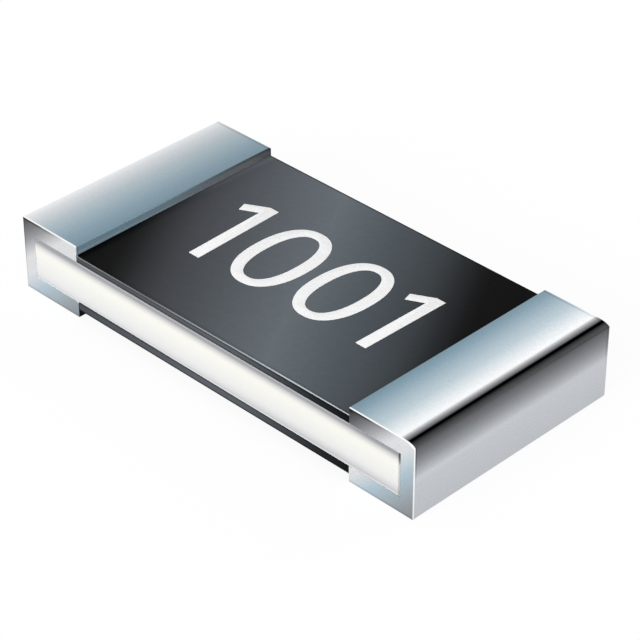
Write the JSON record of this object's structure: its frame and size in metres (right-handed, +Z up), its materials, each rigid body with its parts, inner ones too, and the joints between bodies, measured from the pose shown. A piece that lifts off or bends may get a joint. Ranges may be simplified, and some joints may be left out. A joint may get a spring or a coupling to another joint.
{
  "type": "smd chip resistor",
  "caption": "Thick-film surface-mount chip resistor: white ceramic chip, black coat on top, bright tin caps round both ends for soldering.",
  "frame": {"origin": "middle of the underside, level with the solder faces of the two caps", "axes": "+X along the chip towards the cap with the rounder outer edge, +Z up through the black coat, +Y across"},
  "size_m": [0.0032, 0.0016, 0.0005],
  "materials": {
    "ceramic": "satin white alumina",
    "silver": "matt printed silver",
    "sputter": "thin sputtered metal",
    "nickel": "satin nickel plate",
    "tin": "bright tin plate",
    "film": "fired black resistor ink",
    "glass_layer": "thin fired green glass",
    "coat": "glossy black resin coat"
  },
  "bodies": {
    "root": {"ceramic_substrate": "ceramic", "top_electrode_left": "silver", "top_electrode_right": "silver", "bottom_electrode_left": "silver", "bottom_electrode_right": "silver", "end_electrode_left": "sputter", "end_electrode_right": "sputter", "nickel_barrier_left": "nickel", "nickel_barrier_right": "nickel", "tin_cap_left": "tin", "tin_cap_right": "tin", "resistor_film": "film", "glass_layer": "glass_layer", "top_overcoat": "coat", "bottom_overcoat": "coat"}
  },
  "joints": []
}
